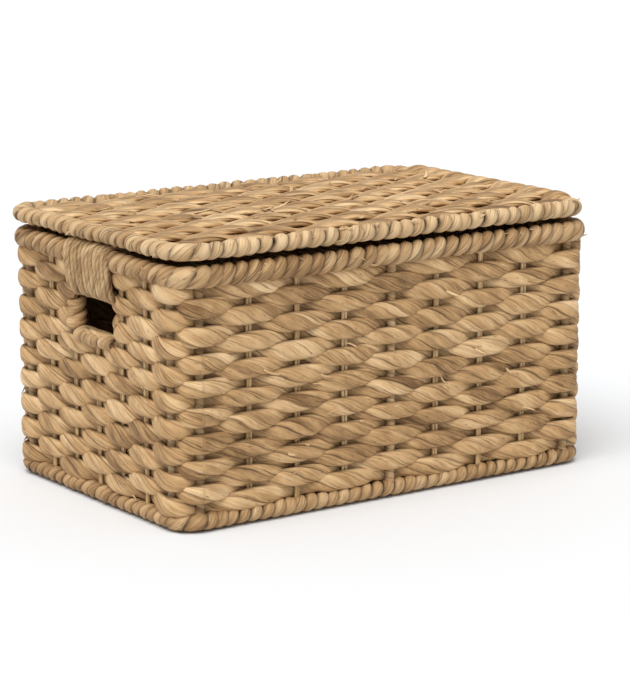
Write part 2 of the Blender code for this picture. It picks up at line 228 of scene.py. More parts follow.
def rounded(phi, exponent):
    cos, sin = np.cos(phi), np.sin(phi)
    return np.sign(cos) * np.abs(cos) ** exponent, np.sign(sin) * np.abs(sin) ** exponent


def twisted_strand(batch, path, closed, half_side, half_rise, seed, pitch=0.058, leaves=4, depth=0.24,
                   columns=WIDE_COLUMNS, up=(0, 0, 1), tone_shift=0.0, touch_shade=0.5, exponent=0.86,
                   behind_shade=None):
    """Leaves twisted right-handed: each column of vertices follows one line along a leaf.

    The contact strength paints shade on the two sides, where strands touch, and the hidden strength paints
    shade on the parts behind a stake; the creases between leaves get painted shade too.
    """
    random = np.random.default_rng(seed)
    s, length = arc_length(path, closed)
    vary = varying(s, length, closed, seed)
    turns = max(1, round(length / pitch)) if closed else length / pitch
    twist = turns * s / length + 0.10 * vary(0.09, 1)
    spread = random.uniform(-0.2, 0.2, leaves)
    edges = [2 * math.pi * (k + spread[k]) / leaves + 0.9 / leaves * vary(0.06, 10 + k)
             for k in range(leaves)]
    strengths = [vary(0.05, 20 + k, 0.15, 1.0) for k in range(leaves)]
    edges.append(edges[0] + 2 * math.pi)
    strengths.append(strengths[0])
    share = np.array(columns)[None, :]
    theta, bulge, painted_shade, tone = [], [], [], []
    for k in range(leaves):
        low, high = edges[k][:, None], edges[k + 1][:, None]
        before, after = strengths[k][:, None], strengths[k + 1][:, None]
        theta.append(low + (high - low) * share)
        valley = before * np.exp(-share / 0.07) + after * np.exp(-(1 - share) / 0.16)
        bulge.append(-depth * valley + 0.25 * depth * (0.4 - share) * before)
        # painted shade along the creases between the leaves
        painted_shade.append(np.maximum(before * np.exp(-share / 0.05), after * np.exp(-(1 - share) / 0.10)))
        leaf = 0.6 * random.normal() + vary(0.10, 40 + k)[:, None]
        tone.append(leaf + 0 * share)
    theta, bulge = np.concatenate(theta, axis=1), np.concatenate(bulge, axis=1)
    painted_shade, tone = np.concatenate(painted_shade, axis=1), np.concatenate(tone, axis=1)
    phi = theta - 2 * math.pi * twist[:, None]
    side_unit, rise_unit = rounded(phi, exponent)
    # painted shade on the two sides, where strands touch
    sharpness = 8 if touch_shade < 1 else 5
    painted_shade = np.maximum(painted_shade, touch_shade * np.abs(np.sin(phi)) ** sharpness)
    # painted shade on the parts behind a stake
    if behind_shade is not None:
        painted_shade = np.maximum(painted_shade, behind_shade[:, None] + 0 * painted_shade)
    scale = 1.0 + bulge + 0.05 * vary(0.025, 70)[:, None]
    x = half_side[:, None] * side_unit * scale
    y = half_rise[:, None] * rise_unit * scale
    along = np.broadcast_to(s[:, None] + 3.0 * random.uniform(), theta.shape)
    grain = np.stack([GRAIN_RADIUS * np.cos(theta), GRAIN_RADIUS * np.sin(theta), along], axis=-1)
    whole = vary(0.30, 80, -0.5, 0.5)[:, None] + random.uniform(-0.25, 0.25)
    tone = 0.5 + 0.15 * tone + 0.26 * whole + tone_shift
    batch.add(path, closed, x, y, grain, painted_shade, tone, up)


def coil(batch, axis, closed, half_side, half_rise, pitch, thickness, seed, hand=1, lean=0.0, fullness=1.06,
         per_turn=26, leaves=2, twist_pitch=0.06, depth=0.14, columns=NARROW_COLUMNS, uneven=0.22,
         touch_shade=1.0, exponent=1.12, axis_up=(0, 0, 1), tone_shift=0.0):
    """A strand wound round the axis line, turn against turn, inside an oval of that size."""
    axis_s, length = arc_length(axis, closed)
    side, rise = frames(axis, closed, axis_up)
    forward = tangents(axis, closed)
    turns = max(2, round(length / pitch))
    count = turns * per_turn if closed else (turns + 2) * per_turn + 1
    number = np.arange(count) / per_turn
    place = (number if closed else np.clip(number - 1, 0, turns)) / turns * length
    noise_place = number / turns * length
    shift = uneven * pitch * varying(noise_place, length, closed, seed + 3)(2.1 * pitch, 0)
    place = place + (shift if closed else shift * np.sin(math.pi * place / length) ** 0.3)
    knots = np.append(axis_s, length) if closed else axis_s
    here = place % length if closed else np.clip(place, 0, length)

    def at(values):
        ring = np.concatenate([values, values[:1]]) if closed else values
        return np.stack([np.interp(here, knots, ring[:, k]) for k in range(3)], axis=1)

    vary = varying(noise_place, length, closed, seed + 4)
    angle = hand * 2 * math.pi * number
    grow = 1 + 0.05 * vary(1.3 * pitch, 1)
    across = (half_side - thickness) * grow * np.cos(angle)
    height = (half_rise - thickness) * grow * np.sin(angle)
    side_here, rise_here, forward_here = at(side), at(rise), at(forward)
    path = (at(axis) + side_here * across[:, None] + rise_here * height[:, None]
            + forward_here * (lean * height)[:, None])
    turning = np.linalg.norm(np.roll(forward_here, -per_turn // 2, axis=0)
                             - np.roll(forward_here, per_turn // 2, axis=0), axis=1)
    fat = fullness * (1 + 0.10 * vary(1.1 * pitch, 2) + 0.55 * np.clip(turning, 0, 0.8))
    thick = thickness * (1 + 0.10 * vary(1.6 * pitch, 5))
    # painted shade on the strand's sides, where turn touches turn
    twisted_strand(batch, path, closed, thick, fat * pitch / 2, seed, pitch=twist_pitch, leaves=leaves,
                   depth=depth, columns=columns, up=forward_here, touch_shade=touch_shade, exponent=exponent,
                   tone_shift=tone_shift)


def plain_tube(batch, path, closed, radius, seed, up=(0, 0, 1), tone_shift=0.0):
    s, _ = arc_length(path, closed)
    phi = np.linspace(0, 2 * math.pi, TUBE_COLUMNS, endpoint=False)[None, :]
    size = radius * (1 + 0.06 * wobble(s, 0.02, seed))[:, None]
    x, y = size * np.cos(phi), size * np.sin(phi)
    random = np.random.default_rng(seed + 5)
    along = np.broadcast_to(s[:, None] + random.uniform(0, 3), x.shape)
    grain = np.stack([x, y, along], axis=-1)
    tone = 0.5 + 0.35 * random.uniform(-1, 1) + 0 * x + tone_shift
    batch.add(path, closed, x, y, grain, 0 * x, tone, up)


# ---------------------------------------------------------------- materials


def leaf_material(name, dark, mid, light, shade_and_mark_colour, fibre=2600.0, bump=0.6, roughness=0.6):
    material = bpy.data.materials.new(name)
    material.use_nodes = True
    nodes, links = material.node_tree.nodes, material.node_tree.links
    shader = nodes["Principled BSDF"]
    shader.inputs["Roughness"].default_value = roughness
    shader.inputs["Specular IOR Level"].default_value = 0.25

    def attribute(key):
        node = nodes.new("ShaderNodeAttribute")
        node.attribute_name = key
        return node

    grain, painted_shade, tone = attribute("grain"), attribute("painted_shade"), attribute("tone")

    def stretched_noise(scale_across, scale_along, detail, roughness_value):
        mapping = nodes.new("ShaderNodeMapping")
        mapping.inputs["Scale"].default_value = (scale_across, scale_across, scale_along)
        noise = nodes.new("ShaderNodeTexNoise")
        noise.inputs["Scale"].default_value = 1.0
        noise.inputs["Detail"].default_value = detail
        noise.inputs["Roughness"].default_value = roughness_value
        links.new(grain.outputs["Vector"], mapping.inputs["Vector"])
        links.new(mapping.outputs["Vector"], noise.inputs["Vector"])
        return noise

    fibres = stretched_noise(fibre, 40.0, 3.0, 0.6)
    streaks = stretched_noise(620.0, 22.0, 3.0, 0.6)
    blotches = stretched_noise(110.0, 45.0, 3.0, 0.6)
    specks = stretched_noise(700.0, 160.0, 1.0, 0.5)

    def math_node(operation, first, second, clamp=False):
        node = nodes.new("ShaderNodeMath")
        node.operation = operation
        node.use_clamp = clamp
        for socket, value in zip(node.inputs, (first, second)):
            if isinstance(value, (int, float)):
                socket.default_value = value
            else:
                links.new(value, socket)
        return node.outputs["Value"]

    def mixed(factor, first, second):
        node = nodes.new("ShaderNodeMix")
        node.data_type = "RGBA"
        links.new(factor, node.inputs["Factor"])
        links.new(first, node.inputs["A"])
        node.inputs["B"].default_value = (*second, 1)
        return node.outputs["Result"]

    streak_part = math_node("MULTIPLY", math_node("SUBTRACT", streaks.outputs["Fac"], 0.5), 0.9)
    blotch_part = math_node("MULTIPLY", math_node("SUBTRACT", blotches.outputs["Fac"], 0.5), 1.1)
    fibre_part = math_node("MULTIPLY", math_node("SUBTRACT", fibres.outputs["Fac"], 0.5), 0.6)
    level = math_node("ADD", tone.outputs["Fac"], math_node("ADD", streak_part, blotch_part))
    level = math_node("ADD", level, fibre_part, clamp=True)
    ramp = nodes.new("ShaderNodeValToRGB")
    ramp.color_ramp.elements[0].position = 0.0
    ramp.color_ramp.elements[0].color = (*dark, 1)
    ramp.color_ramp.elements[1].position = 1.0
    ramp.color_ramp.elements[1].color = (*light, 1)
    middle = ramp.color_ramp.elements.new(0.5)
    middle.color = (*mid, 1)
    links.new(level, ramp.inputs["Fac"])
    marks = math_node("MULTIPLY", math_node("SUBTRACT", specks.outputs["Fac"], 0.66), 9.0, clamp=True)
    marked = mixed(math_node("MULTIPLY", marks, 0.55), ramp.outputs["Color"], shade_and_mark_colour)
    lines = math_node("MULTIPLY", math_node("SUBTRACT", 0.43, streaks.outputs["Fac"]), 6.5, clamp=True)
    marked = mixed(math_node("MULTIPLY", lines, 0.62), marked, shade_and_mark_colour)
    # painted shade: creases, touching sides and parts behind stakes turn towards the dark colour, which also
    # colours the real specks and fibre lines
    shade_mix = math_node("MULTIPLY", math_node("POWER", painted_shade.outputs["Fac"], 1.3), 0.92)
    links.new(mixed(shade_mix, marked, shade_and_mark_colour), shader.inputs["Base Color"])
    relief = nodes.new("ShaderNodeBump")
    relief.inputs["Strength"].default_value = bump
    relief.inputs["Distance"].default_value = 0.0007
    height = math_node("ADD", math_node("MULTIPLY", fibres.outputs["Fac"], 0.5), streaks.outputs["Fac"])
    links.new(height, relief.inputs["Height"])
    links.new(relief.outputs["Normal"], shader.inputs["Normal"])
    return material


def wire_material():
    """Dark lacquered wire, worn brighter in patches."""
    material = bpy.data.materials.new("frame_wire")
    material.use_nodes = True
    nodes, links = material.node_tree.nodes, material.node_tree.links
    shader = nodes["Principled BSDF"]
    shader.inputs["Metallic"].default_value = 0.6
    place = nodes.new("ShaderNodeTexCoord")
    noise = nodes.new("ShaderNodeTexNoise")
    noise.inputs["Scale"].default_value = 350.0
    noise.inputs["Detail"].default_value = 4.0
    links.new(place.outputs["Object"], noise.inputs["Vector"])
    ramp = nodes.new("ShaderNodeValToRGB")
    ramp.color_ramp.elements[0].position = 0.35
    ramp.color_ramp.elements[0].color = (0.030, 0.022, 0.016, 1)
    ramp.color_ramp.elements[1].position = 0.75
    ramp.color_ramp.elements[1].color = (0.130, 0.100, 0.075, 1)
    links.new(noise.outputs["Fac"], ramp.inputs["Fac"])
    links.new(ramp.outputs["Color"], shader.inputs["Base Color"])
    spread = nodes.new("ShaderNodeMapRange")
    spread.inputs["To Min"].default_value = 0.35
    spread.inputs["To Max"].default_value = 0.65
    links.new(noise.outputs["Fac"], spread.inputs["Value"])
    links.new(spread.outputs["Result"], shader.inputs["Roughness"])
    relief = nodes.new("ShaderNodeBump")
    relief.inputs["Strength"].default_value = 0.3
    relief.inputs["Distance"].default_value = 0.0003
    links.new(noise.outputs["Fac"], relief.inputs["Height"])
    links.new(relief.outputs["Normal"], shader.inputs["Normal"])
    return material


STRAND = leaf_material("twisted_leaf", (0.186, 0.097, 0.037), (0.508, 0.306, 0.137), (0.785, 0.552, 0.304),
                       (0.038, 0.016, 0.004))
BORDER_LEAF = leaf_material("wrapped_leaf", (0.178, 0.093, 0.037), (0.435, 0.260, 0.117),
                            (0.700, 0.500, 0.280), (0.036, 0.015, 0.004))
CORD = leaf_material("leaf_cord", (0.190, 0.106, 0.044), (0.460, 0.290, 0.138), (0.700, 0.505, 0.285),
                     (0.040, 0.018, 0.006))
POST_LEAF = leaf_material("post_leaf", (0.200, 0.115, 0.050), (0.450, 0.290, 0.145), (0.680, 0.490, 0.280),
                          (0.050, 0.024, 0.009))
CANE = leaf_material("rattan", (0.400, 0.245, 0.105), (0.620, 0.410, 0.200), (0.770, 0.560, 0.310),
                     (0.200, 0.120, 0.060), fibre=3200.0, bump=0.25, roughness=0.42)
WIRE = wire_material()

# ---------------------------------------------------------------- the wall's closed line

LONG_RUN = LONG_GAPS * LONG_PITCH
SHORT_RUN = SHORT_GAPS * SHORT_PITCH
ARC = CORNER * math.pi / 2
SIDES = [(Vector((-LONG_RUN / 2, -WALL_Y)), Vector((1, 0)), LONG_RUN),
         (Vector((WALL_X, -SHORT_RUN / 2)), Vector((0, 1)), SHORT_RUN),
         (Vector((LONG_RUN / 2, WALL_Y)), Vector((-1, 0)), LONG_RUN),
         (Vector((-WALL_X, SHORT_RUN / 2)), Vector((0, -1)), SHORT_RUN)]
PERIMETER = 2 * (LONG_RUN + SHORT_RUN) + 4 * ARC


def stake_stations():
    """Where each stake stands along the line, from the front left post round to itself."""
    stations, s = [], 0.0
    for run, gaps in ((LONG_RUN, LONG_GAPS), (SHORT_RUN, SHORT_GAPS)) * 2:
        stations += [s + run * step / gaps for step in range(gaps + 1)]
        s += run + ARC
    return np.array(stations + [s])


STATIONS = stake_stations()


def wall_line(s):
    """Points and outward directions on the wall's centre line."""
    s = s % PERIMETER
    points = np.zeros((len(s), 3))
    outward = np.zeros((len(s), 3))
    start = 0.0
    for corner, direction, run in SIDES:
        out = np.array([direction.y, -direction.x])
        on = (s >= start) & (s <= start + run)
        points[on, :2] = np.array(corner) + np.outer(s[on] - start, np.array(direction))
        outward[on, :2] = out
        bend = (s > start + run) & (s < start + run + ARC)
        angle = (s[bend] - start - run) / CORNER
        pivot = np.array(corner) + np.array(direction) * run - out * CORNER
        turned = np.outer(np.cos(angle), out) + np.outer(np.sin(angle), np.array(direction))
        points[bend, :2] = pivot + turned * CORNER
        outward[bend, :2] = turned
        start += run + ARC
    return points, outward


def stake_number(s):
    return np.interp(s % PERIMETER, STATIONS, np.arange(len(STATIONS)))


LEFT_MIDDLE = 28        # the stakes under the two grips
RIGHT_MIDDLE = 12
STAKES = 32
GRIP_LIFT = {15: 0.0075, 16: 0.0045, 17: 0.0015}        # rows squeezed up under the grips
CORNERS = np.array([-0.5, 8.5, 15.5, 24.5, 31.5])       # half way between two stakes
REACH = 0.0041          # how far a row passes outside or inside the stakes
SWELL = 0.0028          # and how much further outside, round a corner
FRONT_BIAS = 0.32       # between two stakes a row keeps to the outside
DRIFT = 0.0013
GRIP_HEIGHT = 0.0053
STEP = 0.0016


def weave_wave(u, number):
    """+1 where the row passes outside a stake, -1 where it passes inside."""
    wave = np.cos(math.pi * (u + number))
    wave = np.sign(wave) * np.abs(wave) ** 0.9
    return wave + FRONT_BIAS * (1 - wave * wave)


def row_wave(u, number):
    wave = weave_wave(u, number)
    if number > 14:
        for middle in (LEFT_MIDDLE, RIGHT_MIDDLE):
            near = np.abs(u - middle) < 1
            side = 1.0 if (middle + 1 + number) % 2 == 0 else -1.0
            wave = np.where(near, side * (0.45 + 0.55 * (u - middle) ** 2), wave)
    return wave


HALF_THICKNESS = 0.0048
FLATTENED = 0.0012
HALF_HEIGHT = 0.0066
WIDENED = 0.0020


def float_size(wave, s, length, seed):
    """Half thickness and half height: flatter and wider at a stake than between two."""
    full = np.clip(np.abs(wave), 0, 1)
    fat = 1.015 + 0.10 * closed_wobble(s, length, 0.06, seed)
    half_thickness = HALF_THICKNESS - FLATTENED * full
    half_height = (HALF_HEIGHT + WIDENED * full) * fat
    return half_thickness, half_height


def row_path(s, number, seed):
    u = stake_number(s)
    wave = row_wave(u, number)
    points, outward = wall_line(s)
    bend = np.min(np.abs(u[:, None] - CORNERS[None, :]), axis=1)
    swell = SWELL * np.clip(1.5 - bend, 0, 1) * np.clip(wave, 0, 1)
    path = points + outward * (REACH * wave + swell)[:, None]
    drift = DRIFT * closed_wobble(s % PERIMETER, PERIMETER, 0.08, seed + 300)
    path[:, 2] = ROWS[number] + drift
    for middle in (LEFT_MIDDLE, RIGHT_MIDDLE):
        near = np.clip(1.6 * (1.15 - np.abs(u - middle)), 0, 1)
        path[:, 2] += GRIP_LIFT.get(number, 0.0) * near * near * (3 - 2 * near)
    return path, wave


def build_wall_rows():
    for number in sorted(ROWS):
        if number in HOLE_ROWS:
            continue
        seed = 100 * number
        count = int(PERIMETER / STEP)
        s = np.arange(count) * PERIMETER / count
        path, wave = row_path(s, number, seed)
        thick, high = float_size(wave, s, PERIMETER, seed + 7)
        if number > 14:
            u = stake_number(s)
            for middle in (LEFT_MIDDLE, RIGHT_MIDDLE):
                high = np.where(np.abs(u - middle) < 0.9, np.minimum(high, GRIP_HEIGHT), high)
        batch = Batch()
        pitch = np.random.default_rng(seed + 40).uniform(0.076, 0.112)
        # painted shade on the sides, where rows touch, and on the parts behind the stakes
        twisted_strand(batch, path, True, thick, high, seed, pitch=pitch, touch_shade=0.72,
                       behind_shade=0.55 * np.clip(-wave, 0, 1) ** 1.5)
        strand = batch.build(f"leaf_row_{number:02d}", STRAND, "basket")
        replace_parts(strand, f"weave_row_{number:02d}")


def hairpin(stake, along, number, next_number, count=16):
    """The strand turns back round the stake beside the hand hole."""
    points, outward = wall_line(np.array([STATIONS[stake]]))
    side = 1.0 if (stake + number) % 2 == 0 else -1.0
    share = (np.arange(count) + 0.5) / count
    turn = share * math.pi
    path = points + REACH * (np.outer(side * np.cos(turn), outward[0]) + 0.7 * np.outer(np.sin(turn), along))
    eased = share * share * (3 - 2 * share)
    path[:, 2] = ROWS[number] * (1 - eased) + ROWS[next_number] * eased
    return path


def build_hole_rows():
    spans = (("front", LEFT_MIDDLE + 1, RIGHT_MIDDLE - 1 + STAKES, (0, 1, 0)),
             ("back", RIGHT_MIDDLE + 1, LEFT_MIDDLE - 1, (0, -1, 0)))
    for label, first, last, along in spans:
        along = np.array(along, float)
        low = STATIONS[first]
        high = STATIONS[last % STAKES] + (PERIMETER if last >= STAKES else 0)
        count = int((high - low) / STEP)
        s = low + (high - low) * np.arange(count + 1) / count
        lower, lower_wave = row_path(s, 13, 1300)
        upper, upper_wave = row_path(s, 14, 1400)
        end_turn = hairpin(last % STAKES, along, 13, 14)
        start_turn = hairpin(first, along, 14, 13)
        path = np.concatenate([lower, end_turn, upper[::-1], start_turn])
        ones = np.full(len(end_turn), 0.75)
        wave = np.concatenate([lower_wave, ones, upper_wave[::-1], ones])
        thick, tall = float_size(wave, np.arange(len(wave)) * STEP, len(wave) * STEP, 1307)
        batch = Batch()
        # painted shade on the sides, where rows touch, and on the parts behind the stakes
        twisted_strand(batch, path, True, thick, tall, 1310 + first, pitch=0.085, touch_shade=0.72,
                       behind_shade=0.55 * np.clip(-wave, 0, 1) ** 1.5)
        strand = batch.build(f"leaf_hole_row_{label}", STRAND, "basket")
        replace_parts(strand, f"hole_row_{label}")


# ---------------------------------------------------------------- stakes


CANE_SHIFT = 0.0010
CANE_RADIUS = 0.00138
HALF_PAIR = 0.00145
CANE_PAIRS = 6
POST_SIZE = (0.0041, 0.0041, 0.0066, 0.0010)    # half width, half height, pitch, leaf thickness
POST_STEP = 0.0015
HOOP_BEND = 0.004
HOOP_STEP = 0.005
HOOP_TOP = 0.002        # how far below the rim wire the hoops end


def vertical(x, y, low, high, seed, step=0.004, sway=0.0004):
    z = np.arange(low, high + step / 2, step)
    path = np.zeros((len(z), 3))
    path[:, 0] = x + sway * wobble(z, 0.04, seed)
    path[:, 1] = y + sway * wobble(z, 0.04, seed + 1)
    path[:, 2] = z
    return path


def hoop(x, seed):
    """Down the front wall, under the base and up the back wall, with small round bends."""
    bend = HOOP_BEND
    wall = WALL_Y + CANE_SHIFT
    turn = np.linspace(0, math.pi / 2, 6)
    down = np.arange(RIM_Z - HOOP_TOP, BASE_Z + bend, -HOOP_STEP)
    flat = np.arange(-wall + bend + 0.003, 0, 0.006)
    half = [(-wall, z) for z in down]
    half += [(-wall + bend - bend * math.cos(a), BASE_Z + bend - bend * math.sin(a)) for a in turn]
    half += [(y, BASE_Z) for y in flat]
    line = np.array(half + [(-y, z) for y, z in half[::-1]])
    path = np.zeros((len(line), 3))
    path[:, 0] = x + 0.0005 * wobble(np.arange(len(line)) * HOOP_STEP, 0.05, seed)
    path[:, 1:] = line
    return path


def build_canes():
    for number in range(1, CANE_PAIRS + 1):
        x = centre(f"cane_pair_{number}").x
        batch = Batch()
        for side in (-1, 1):
            seed = 3000 + 10 * number + side
            plain_tube(batch, hoop(x + side * HALF_PAIR, seed), False, CANE_RADIUS, seed, up=(1, 0, 0))
        canes = batch.build(f"cane_hoop_{number}", CANE, "basket")
        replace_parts(canes, f"cane_pair_{number}")
    for label, outward in (("left", -1), ("right", 1)):
        for number in range(1, SHORT_GAPS):
            node = f"end_cane_{label}_{number}"
            low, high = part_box(node)
            middle = centre(node)
            batch = Batch()
            for side in (-1, 1):
                seed = 3500 + 20 * number + side + (7 if label == "left" else 0)
                path = vertical(middle.x + outward * CANE_SHIFT, middle.y + side * HALF_PAIR,
                                low.z, high.z, seed)
                plain_tube(batch, path, False, CANE_RADIUS, seed, up=(1, 0, 0))
            canes = batch.build(f"cane_{label}_{number}", CANE, "basket")
            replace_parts(canes, node)


def post_coil(batch, line, seed):
    coil(batch, line, False, *POST_SIZE, seed, per_turn=14, leaves=2, depth=0.10, fullness=1.08,
         twist_pitch=0.2, touch_shade=0.5, exponent=0.8, axis_up=(1, 0, 0))


def build_posts():
    """The wire frame stays, and a leaf is wound round each of its posts and hoops."""
    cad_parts["wire_frame"].data.materials.clear()
    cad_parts["wire_frame"].data.materials.append(WIRE)
    batch = Batch()
    lines = [hoop_fine(x) for x in (-LONG_RUN / 2, 0.0, LONG_RUN / 2)]
    lines += [vertical(side * (WALL_X + CANE_SHIFT), y, BASE_Z, RIM_Z, 4100, step=POST_STEP)
              for side in (-1, 1) for y in (-SHORT_RUN / 2, SHORT_RUN / 2)]
    for number, line in enumerate(lines):
        post_coil(batch, line, 4000 + 40 * number)
    batch.build("post_wraps", POST_LEAF, "basket")


def hoop_fine(x):
    coarse = hoop(x, 4050)
    s, length = arc_length(coarse, False)
    fine = np.arange(0, length, POST_STEP)
    return np.stack([np.interp(fine, s, coarse[:, axis]) for axis in range(3)], axis=1)


# ---------------------------------------------------------------- borders


RING_STEP = 0.0011


def ring_line(half_x, half_y, radius, shift, z, start_s=0.0, end_s=None, step=RING_STEP):
    """A rounded ring, anticlockwise from the middle of its back side."""
    straight = [half_x - radius, 2 * (half_y - radius), 2 * (half_x - radius), 2 * (half_y - radius),
                half_x - radius]
    arc = radius * math.pi / 2
    total = sum(straight) + 4 * arc
    end_s = total if end_s is None else end_s
    count = int((end_s - start_s) / step)
    s = start_s + (end_s - start_s) * np.arange(count + 1) / count
    points = np.zeros((len(s), 3))
    place = np.array([0.0, half_y])
    direction = np.array([-1.0, 0.0])
    start = 0.0
    for number, run in enumerate(straight):
        on = (s >= start - 1e-9) & (s <= start + run + 1e-9)
        points[on, :2] = place + np.outer(s[on] - start, direction)
        place = place + direction * run
        start += run
        if number == 4:
            break
        left = np.array([-direction[1], direction[0]])
        pivot = place + left * radius
        bend = (s > start) & (s < start + arc)
        angle = (s[bend] - start) / radius
        points[bend, :2] = pivot + radius * (np.outer(np.sin(angle), direction)
                                             - np.outer(np.cos(angle), left))
        place = pivot + radius * direction
        direction = left
        start += arc
    points[:, 0] += shift
    points[:, 2] = z
    return points, s, total


RIM_SIZE = (0.0088, 0.0097, 0.0128, 0.0046)     # half width, half height, pitch, leaf thickness
LID_SIZE = (0.0088, 0.0077, 0.0128, 0.0042)
BASE_SIZE = (0.0083, 0.0073, 0.0114, 0.0034)
LID_DROP = 0.0008
BASE_TUCK = 0.0025
BASE_LIFT = 0.0004


def border_pieces(name, half_x, shift, z, body, nodes, half_side, half_rise, pitch, thickness, lean, seed,
                  tone_shift=0.0):
    left_gap = shift - HINGES[0] + HALF_NOTCH
    right_gap = HINGES[1] + HALF_NOTCH - shift
    _, _, total = ring_line(half_x, RING_Y, RING_CORNER, shift, z)
    front, _, _ = ring_line(half_x, RING_Y, RING_CORNER, shift, z, left_gap, total - right_gap)
    x = np.arange(HINGES[1] - HALF_NOTCH, HINGES[0] + HALF_NOTCH, -RING_STEP)
    back = np.stack([x, np.full(len(x), RING_Y), np.full(len(x), z)], axis=1)
    for label, path, node in (("front", front, nodes[0]), ("back", back, nodes[1])):
        batch = Batch()
        lift = 0.0005 * wobble(np.arange(len(path)) * RING_STEP, 0.03, seed + 9)
        path = path + np.stack([0 * lift, 0 * lift, lift], axis=1)
        spare = int(pitch / 2 / RING_STEP)
        coil(batch, path[spare:-spare], False, half_side, half_rise, pitch, thickness, seed, lean=lean,
             tone_shift=tone_shift)
        piece = batch.build(f"{name}_{label}", BORDER_LEAF, body)
        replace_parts(piece, node)


def build_borders():
    border_pieces("rim_binding", RING_X, 0.0, RIM_Z, "basket", ("rim_wrap_front", "rim_wrap_back"),
                  *RIM_SIZE, 0.30, 5000, tone_shift=0.08)
    border_pieces("lid_binding", LID_X, LID_SHIFT, LID_Z - LID_DROP, "lid",
                  ("lid_border_front", "lid_border_back"),
                  *LID_SIZE, -0.10, 5100, tone_shift=0.17)
    base, _, _ = ring_line(RING_X - BASE_TUCK, RING_Y - BASE_TUCK, RING_CORNER, 0.0, BASE_Z + BASE_LIFT)
    batch = Batch()
    coil(batch, base[:-1], True, *BASE_SIZE, 5200, lean=0.15, tone_shift=0.12)
    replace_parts(batch.build("base_binding", BORDER_LEAF, "basket"), "base_wrap")


# ---------------------------------------------------------------- woven mats


MAT_STRANDS = 14
MAT_WAVE = 0.0024
MAT_HALF_WIDTH = 0.0121
LID_MARGIN = 0.0045
BASE_MARGIN = 0.006
FOLD = 0.0068           # height of the strand ends folded over the border, and what their reach adds
FOLD_EXTRA = 0.0030
FOLD_HALF_WIDTH = 0.0100
FOLD_START = 0.0085
MAT_STEP = 0.0021
LID_RAISED = 0.0020     # how far the middle of the lid stands above its edges


def mat_strand(y, strand, members, z, end, shift, seed, batch, raised, fold):
    """One strand over and under the members; its right end may fold over the border, to that height."""
    corner = max(0.0, abs(y) - (RING_Y - RING_CORNER))
    inset = RING_CORNER - math.sqrt(RING_CORNER ** 2 - min(corner, 0.98 * RING_CORNER) ** 2) if fold else 0.0
    stop = shift + end - inset - (FOLD_START if fold else 0.0)
    x = np.arange(shift - end, stop + MAT_STEP / 2, MAT_STEP)
    u = np.interp(x, members, np.arange(len(members)))
    outside = np.maximum(0, np.maximum(members[0] - x, x - members[-1]))
    u = u + np.where(x > members[-1], outside, -outside) / (members[1] - members[0])
    wave = np.cos(math.pi * (u + strand))
    wave = np.sign(wave) * np.abs(wave) ** 0.85
    height = z + raised + MAT_WAVE * wave
    full = np.abs(wave)
    # painted shade on the parts that dip under a member
    behind_shade = 0.25 * np.clip(-wave, 0, 1) ** 1.5
    if fold:
        pivot = shift + end + LID_MARGIN - inset
        turn = np.radians(np.arange(112.0, -38.0, -9.0))
        reach = fold + FOLD_EXTRA
        start = pivot + reach * math.cos(turn[0])
        share = np.linspace(0, 1, int((start - x[-1]) / MAT_STEP) + 2)[1:-1]
        eased = share * share * (3 - 2 * share)
        rise = height[-1] * (1 - eased) + (z + fold * math.sin(turn[0])) * eased
        x = np.concatenate([x, x[-1] + (start - x[-1]) * share, pivot + reach * np.cos(turn)])
        height = np.concatenate([height, rise, z + fold * np.sin(turn)])
        full = np.concatenate([full, np.full(len(share) + len(turn), 0.35)])
        behind_shade = np.concatenate([behind_shade, np.zeros(len(share) + len(turn))])
    s = np.arange(len(x)) * MAT_STEP
    path = np.stack([x, y + 0.0012 * wobble(s, 0.06, seed + 2), height], axis=1)
    half_side = MAT_HALF_WIDTH * (0.93 + 0.15 * full) * (1 + 0.08 * wobble(s, 0.05, seed + 3))
    half_rise = 0.0034 - 0.0003 * full
    if fold:
        half_side = np.where(x > stop, np.minimum(half_side, FOLD_HALF_WIDTH), half_side)
    forward = tangents(path, False)
    upright = np.stack([-forward[:, 2], 0 * x, forward[:, 0]], axis=1)
    twisted_strand(batch, path, False, half_side, half_rise, seed, pitch=0.110, leaves=5, depth=0.17,
                   columns=NARROW_COLUMNS, up=upright, tone_shift=0.02, behind_shade=behind_shade)


def build_mats():
    half_strand = 0.007
    for name, node, body, z, members, shift, end, fold in (
            ("lid_mat", "lid_weave", "lid", LID_Z, [LID_SHIFT + k * LID_PITCH for k in range(-6, 7)],
             LID_SHIFT, LID_X - LID_MARGIN, FOLD),
            ("base_mat", "base_weave", "basket", BASE_Z, [k * LONG_PITCH for k in range(-4, 5)],
             0.0, WALL_X - BASE_MARGIN, 0.0)):
        low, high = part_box(node)
        first, last = low.y + half_strand, high.y - half_strand
        batch = Batch()
        for strand in range(MAT_STRANDS):
            y = first + (last - first) * strand / (MAT_STRANDS - 1)
            seed = (6000 if body == "lid" else 6500) + 20 * strand
            inset = min(strand, MAT_STRANDS - 1 - strand)
            raised = LID_RAISED * min(1.0, 0.5 * inset) if body == "lid" else 0.0
            mat_strand(y, strand, np.array(members), z, end, shift, seed, batch, raised,
                       fold if inset else 0.0)
        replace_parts(batch.build(name, STRAND, body), node)


LID_CANES = 12
ROD_RADIUS = 0.0016


def build_lid_canes():
    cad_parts["lid_frame"].data.materials.clear()
    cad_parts["lid_frame"].data.materials.append(WIRE)
    for number in range(1, LID_CANES + 1):
        node = f"lid_cane_{number:02d}"
        low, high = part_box(node)
        y = np.arange(low.y, high.y, 0.006)
        path = np.stack([np.full(len(y), centre(node).x), y, np.full(len(y), LID_Z)], axis=1)
        batch = Batch()
        plain_tube(batch, path, False, ROD_RADIUS, 7000 + number, tone_shift=-0.3)
        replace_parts(batch.build(f"lid_rod_{number:02d}", POST_LEAF, "lid"), node)


# ---------------------------------------------------------------- grips, sills and hinges


